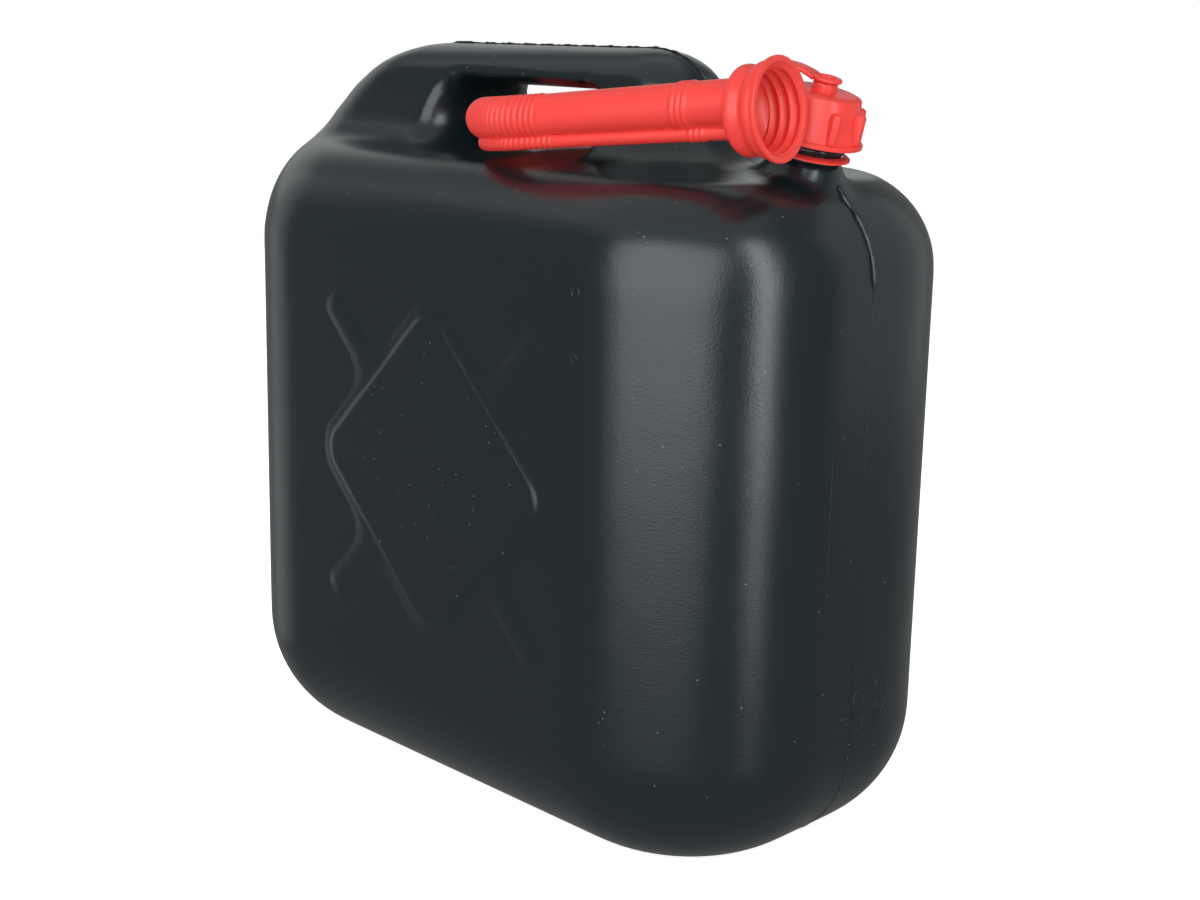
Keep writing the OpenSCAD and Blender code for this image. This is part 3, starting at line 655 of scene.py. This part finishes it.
cap.name = "cap_shell"
on_neck(cap)
finish(cap, red_plastic, "cap", "cap")

# Seal: a flat disc of black rubber, cut from sheet, that lies under the cap's roof and closes the
# neck. Its CAD node is right as it is and is only given its material.
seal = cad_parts["cap_seal"]
seal.data.materials.clear()
seal.data.materials.append(plastic("black_rubber", (0.012, 0.012, 0.012, 1), rough=0.6, specular=0.3,
                                   grain_scale=700, grain_height=0.1))

# Strap: one soft moulding of red polyethylene. On the can its eyelet turns on the cap's post, its ring
# lies round the neck, and the band between them bends as the cap rises; here it is one fixed mesh in
# its rest shape.
EYELET_BORE, EYELET_RIM, STRAP_HEIGHT, STRAP_WIDTH = 3.4, 2.3, 1.8, 5
RING_BORE, RING_WIDTH, RING_LEVEL = NECK_RADIUS + 0.35, 2.9, -4.6
STRAP_HEADING, STRAP_OUT, STRAP_ROUND, STRAP_BEND = math.radians(205), 26, 0.6, 9
STRAP_FLARE, FLARE_STEPS, FLARE_CURVE = 1.1, 15, 1.3
EYELET_LEVEL = POST_SHOULDER + 0.2
STRAP_TOP = EYELET_LEVEL + STRAP_HEIGHT / 2


def curve(a, b, c, d, steps):
    """Points on a cubic curve."""
    a, b, c, d = (np.array(point, float) for point in (a, b, c, d))
    return [(1 - t) ** 3 * a + 3 * (1 - t) ** 2 * t * b + 3 * (1 - t) * t * t * c + t ** 3 * d
            for t in np.linspace(0, 1, steps)]


strap_line = curve((EYELET_BORE + 0.6, STRAP_TOP), (14, STRAP_TOP + 4), (STRAP_OUT, STRAP_TOP + 3),
                   (STRAP_OUT, STRAP_BEND), 22)
strap_line += curve((STRAP_OUT, STRAP_BEND), (STRAP_OUT, 0), (22, RING_LEVEL),
                    (RING_BORE + 0.9, RING_LEVEL), 18)[1:]
edge, top = STRAP_WIDTH / 2 - STRAP_ROUND, STRAP_HEIGHT / 2 - STRAP_ROUND
strap_section = (arc(edge, top, STRAP_ROUND, 0, 90, 4) + arc(-edge, top, STRAP_ROUND, 90, 180, 4)
                 + arc(-edge, -top, STRAP_ROUND, 180, 270, 4) + arc(edge, -top, STRAP_ROUND, 270, 360, 4))
strap_rings = []
for i, point in enumerate(strap_line):
    along = strap_line[min(i + 1, len(strap_line) - 1)] - strap_line[max(i - 1, 0)]
    along /= np.linalg.norm(along)
    widen = 1 + STRAP_FLARE * max(0, 1 - i / FLARE_STEPS) ** FLARE_CURVE
    strap_rings.append([(point[0] - along[1] * up, across * widen, point[1] + along[0] * up)
                        for across, up in strap_section])
strap = skin("cap_strap_band", strap_rings)
strap.data.transform(Matrix.Rotation(STRAP_HEADING, 4, "Z"))
eyelet_profile = [(EYELET_BORE, EYELET_LEVEL + 0.2), (EYELET_BORE + EYELET_RIM, EYELET_LEVEL),
                  (EYELET_BORE + EYELET_RIM, EYELET_LEVEL + STRAP_HEIGHT),
                  (EYELET_BORE, EYELET_LEVEL + STRAP_HEIGHT), (EYELET_BORE, EYELET_LEVEL + 0.2)]
eyelet = turned("eyelet", soften(eyelet_profile, 2), 48, (False, False))
ring_profile = [(RING_BORE, RING_LEVEL), (RING_BORE + RING_WIDTH, RING_LEVEL - 1.1),
                (RING_BORE + RING_WIDTH, RING_LEVEL - 0.1), (RING_BORE, RING_LEVEL + 0.9),
                (RING_BORE, RING_LEVEL)]
ring = turned("neck_ring", soften(ring_profile, 1), 96, (False, False))
join(strap, eyelet, ring)
bpy.ops.object.shade_smooth_by_angle(angle=math.radians(45))
on_neck(strap)
finish(strap, red_plastic, "cap_strap", None)
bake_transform(strap)

# Spout: one flexible red moulding, a wide channel with a small air channel along its underside,
# folded into bellows where it bends through the handle, and a threaded funnel at its end.
SPOUT_LENGTH, TUBE_RADIUS, TUBE_RADIUS_BEND = 240, 8.5, 7.7
VENT_RADIUS, VENT_DROP = 3.0, 1.45
BAND_START, BAND_PITCH, VENT_BAND_START, BAND_COUNT, BAND_HEIGHT = 32.5, 2.3, 27.5, 3, 0.55
BEND_START_AT, BEND_RADIUS = 102, 36
BELLOWS_START, VENT_BELLOWS_START, BELLOWS_END = 95, 90, 186
FOLD_PITCH, FOLD_DEPTH, FOLD_FULLNESS, VENT_SHARE, NOZZLE_TAPER = 2.45, 0.85, 0.55, 0.6, 0.012
SPOUT_HEADING, SPOUT_RISE = math.radians(14), math.radians(5)
FUNNEL_HEADING = math.radians(8.5)
BEND_LEVEL = SHELF_HEIGHT + 14.62
FUNNEL_PLACE = Vector((134.4, -37.3, BEND_LEVEL + 10.5))
TUBE_LIFT, TUBE_SAG = 3.35, 0.014
TURN_LENGTH = BEND_RADIUS * (math.pi / 2 + SPOUT_HEADING)
SPOUT_DIRECTION = np.array([-math.cos(SPOUT_HEADING) * math.cos(SPOUT_RISE),
                            -math.sin(SPOUT_HEADING) * math.cos(SPOUT_RISE),
                            -math.sin(SPOUT_RISE) - TUBE_SAG])
TUBE_START = np.array([134, -37.5, FUNNEL_PLACE.z + TUBE_LIFT])
BEND_START = TUBE_START + BEND_START_AT * SPOUT_DIRECTION
BEND_CENTRE = BEND_START[:2] + BEND_RADIUS * np.array([-math.sin(SPOUT_HEADING), math.cos(SPOUT_HEADING)])


def spout_angle(s):
    """The tube's heading at a length along it."""
    return math.pi + SPOUT_HEADING - min(max(0, s - BEND_START_AT), TURN_LENGTH) / BEND_RADIUS


def spout_point(s):
    """The middle of the tube at a length along it: straight, then round the bend, then straight."""
    if s < BEND_START_AT:
        return TUBE_START + s * SPOUT_DIRECTION
    a, after = spout_angle(s), max(0, s - BEND_START_AT - TURN_LENGTH)
    ease = min(1, (s - BEND_START_AT) / TURN_LENGTH)
    on_bend = BEND_CENTRE + BEND_RADIUS * np.array([-math.sin(a), math.cos(a)])
    flat = on_bend + after * np.array([math.cos(a), math.sin(a)])
    return np.array([*flat, BEND_START[2] + (BEND_LEVEL - BEND_START[2]) * (1 - (1 - ease) ** 2)])


def tube_radius(s):
    """The main channel's radius, slimmer at the bend and a little more so at the nozzle."""
    share = min(1, max(0, s / BEND_START_AT))
    taper = NOZZLE_TAPER * max(0, s - BELLOWS_END)
    return TUBE_RADIUS + (TUBE_RADIUS_BEND - TUBE_RADIUS) * share - taper


def swell(s, band_start, bellows_start):
    """How far the bands and the folds stand out of the tube."""
    band = (s - band_start) / BAND_PITCH
    if 0 <= band < BAND_COUNT:
        return BAND_HEIGHT * math.sin(math.pi * (band % 1))
    if bellows_start <= s < BELLOWS_END:
        fold = (s - BELLOWS_END) / FOLD_PITCH
        return FOLD_DEPTH * (abs(math.sin(math.pi * fold)) ** FOLD_FULLNESS - FOLD_FULLNESS)
    return 0


def spout_section(r, vent, depth):
    """The main channel with the air channel grown onto its underside."""
    out_r = math.degrees(math.acos((r * r + depth * depth - vent * vent) / (2 * r * depth)))
    out_v = math.degrees(math.acos((vent * vent + depth * depth - r * r) / (2 * vent * depth)))
    return arc(0, 0, r, -90 + out_r, 270 - out_r, 56) + arc(0, -depth, vent, 90 + out_v, 450 - out_v, 26)


fine_steps = [*np.arange(27, 40.5, 0.25), *np.arange(89.5, BELLOWS_END + 0.5, 0.27)]
plain_steps = [*np.arange(14, 27, 3), *np.arange(44, 88, 6), *np.arange(190, SPOUT_LENGTH + 1, 5)]
spout_rings = []
for s in sorted(fine_steps + plain_steps):
    centre, a = spout_point(s), spout_angle(s)
    side = np.array([-math.sin(a), math.cos(a), 0])
    r = tube_radius(s)
    vent = VENT_RADIUS + VENT_SHARE * swell(s, VENT_BAND_START, VENT_BELLOWS_START)
    section = spout_section(r + swell(s, BAND_START, BELLOWS_START), vent, r + VENT_DROP)
    spout_rings.append([centre + x * side + np.array([0, 0, y]) for x, y in section])
spout = skin("spout_tube", spout_rings, (False, True))
bpy.ops.object.shade_smooth_by_angle(angle=math.radians(50))

FUNNEL_RADIUS, FUNNEL_BORE, FUNNEL_DRAFT = 18.3, 15.6, 0.09
FUNNEL_PITCH, FUNNEL_THREAD, FUNNEL_THREAD_CURVE = 3.9, 1.5, 1.6
funnel_outside = soften([(8.2, -17.4), (10.2, -17.1), (13.2, -15.8), (14.7, -14.8), (15.8, -13.7),
                         (16, -12), (15.6, -10.3), (15, -9.1), (14.9, -8.3), (15.3, -7.3),
                         (16.4, -6.3), (16.8, -5), (16.6, -3.4), (16.5, -2.6), (17.8, -2.1),
                         (18.2, -1.6), (FUNNEL_RADIUS, -0.5), (18.1, 0), (16.2, 0), (15.7, -0.6)], 2)
funnel_turn = full_turn(128)
funnel_rings = circles(funnel_outside, funnel_turn)
for h in np.arange(-0.9, -13.4, -0.25):
    ring_points = []
    for a in funnel_turn:
        wave = 0.5 + 0.5 * math.cos(2 * math.pi * (h / FUNNEL_PITCH + a / (2 * math.pi)))
        r = FUNNEL_BORE - FUNNEL_THREAD * wave ** FUNNEL_THREAD_CURVE - FUNNEL_DRAFT * (-h - 0.9)
        ring_points.append((r * math.cos(a), r * math.sin(a), h))
    funnel_rings.append(ring_points)
funnel_rings += circles([(12.6, -14.2), (9.6, -15.6), (7.6, -17), (7.3, -40), (7.2, -60)], funnel_turn)
funnel = skin("funnel", funnel_rings)
bpy.ops.object.shade_smooth_by_angle(angle=math.radians(50))
funnel.data.transform(Matrix.Translation(FUNNEL_PLACE * MM) @ Matrix.Rotation(FUNNEL_HEADING, 4, "Z")
                      @ Matrix.Rotation(math.pi / 2 - SPOUT_RISE, 4, "Y"))
join(spout, funnel)
spout.name = "spout_moulding"
finish(spout, red_plastic, "spout")

# Studio: a pale floor, a surround that is white to the camera and dim to the can, and soft lamps:
# tall softboxes for the two highlights on the front corner, a ceiling, and panels round the can.
SURROUND_LIGHT, FLOOR_GLOW, LAMP_COLOUR = 0.2, 0.85, (0.95, 1, 1)
AIM = Vector((0, 0, 0.15))
world = bpy.data.worlds.new("studio")
bpy.context.scene.world = world
world.use_nodes = True
world_nodes, world_links = world.node_tree.nodes, world.node_tree.links
surround = world_nodes["Background"]
ray = world_nodes.new("ShaderNodeLightPath")
strength = world_nodes.new("ShaderNodeMix")
strength.data_type = "FLOAT"
strength.inputs["A"].default_value = SURROUND_LIGHT
strength.inputs["B"].default_value = 1.0
world_links.new(ray.outputs["Is Camera Ray"], strength.inputs["Factor"])
world_links.new(strength.outputs["Result"], surround.inputs["Strength"])
surround.inputs["Color"].default_value = (1, 1, 1, 1)

bpy.ops.object.select_all(action="DESELECT")
bpy.ops.mesh.primitive_plane_add(size=3)
floor = bpy.context.object
floor.name = "floor"
floor_paint = bpy.data.materials.new("floor_paint")
floor_paint.use_nodes = True
floor_nodes, floor_links = floor_paint.node_tree.nodes, floor_paint.node_tree.links
floor_nodes["Principled BSDF"].inputs["Base Color"].default_value = (0.8, 0.8, 0.8, 1)
floor_nodes["Principled BSDF"].inputs["Roughness"].default_value = 0.9
white = floor_nodes.new("ShaderNodeEmission")
floor_ray = floor_nodes.new("ShaderNodeLightPath")
level = floor_nodes.new("ShaderNodeMath")
level.operation = "MULTIPLY"
level.inputs[1].default_value = FLOOR_GLOW
both = floor_nodes.new("ShaderNodeAddShader")
floor_links.new(floor_ray.outputs["Is Camera Ray"], level.inputs[0])
floor_links.new(level.outputs[0], white.inputs["Strength"])
floor_links.new(floor_nodes["Principled BSDF"].outputs["BSDF"], both.inputs[0])
floor_links.new(white.outputs["Emission"], both.inputs[1])
floor_links.new(both.outputs["Shader"], floor_nodes["Material Output"].inputs["Surface"])
floor.data.materials.append(floor_paint)
floor.visible_glossy = False
floor.visible_shadow = False


def lamp(name, azimuth, elevation, distance, width, height, power):
    """A softbox facing the can, by its direction in degrees and its distance and size in metres."""
    light = bpy.data.lights.new(name, "AREA")
    light.shape, light.color = "RECTANGLE", LAMP_COLOUR
    light.size, light.size_y, light.energy = width, height, power
    a, e = math.radians(azimuth), math.radians(elevation)
    place = Vector((math.cos(a) * math.cos(e), math.sin(a) * math.cos(e), math.sin(e))) * distance
    piece = bpy.data.objects.new(name, light)
    bpy.context.collection.objects.link(piece)
    turn = (-place).to_track_quat("-Z", "Y").to_matrix().to_4x4()
    piece.matrix_world = Matrix.Translation(AIM + place) @ turn
    piece.visible_camera = False


lamp("softbox_wide", -67, 18.5, 1.6, 1.97, 1.81, 17)
lamp("softbox_wide_low", -67, 14, 1.62, 1.97, 2.16, 13)
lamp("softbox_narrow", -8, 18.5, 1.6, 0.27, 1.81, 6)
lamp("softbox_narrow_low", -8, 14, 1.62, 0.27, 2.16, 4.6)
lamp("ceiling", -120, 80, 1.8, 3, 2.6, 9)
lamp("panel_left", -169, 5, 1.8, 0.75, 2.0, 1.65)
lamp("backdrop", 150, 22, 1.9, 2.4, 0.9, 2.8)
lamp("panel_right", 66, 16, 1.8, 1.6, 1.8, 2.6)
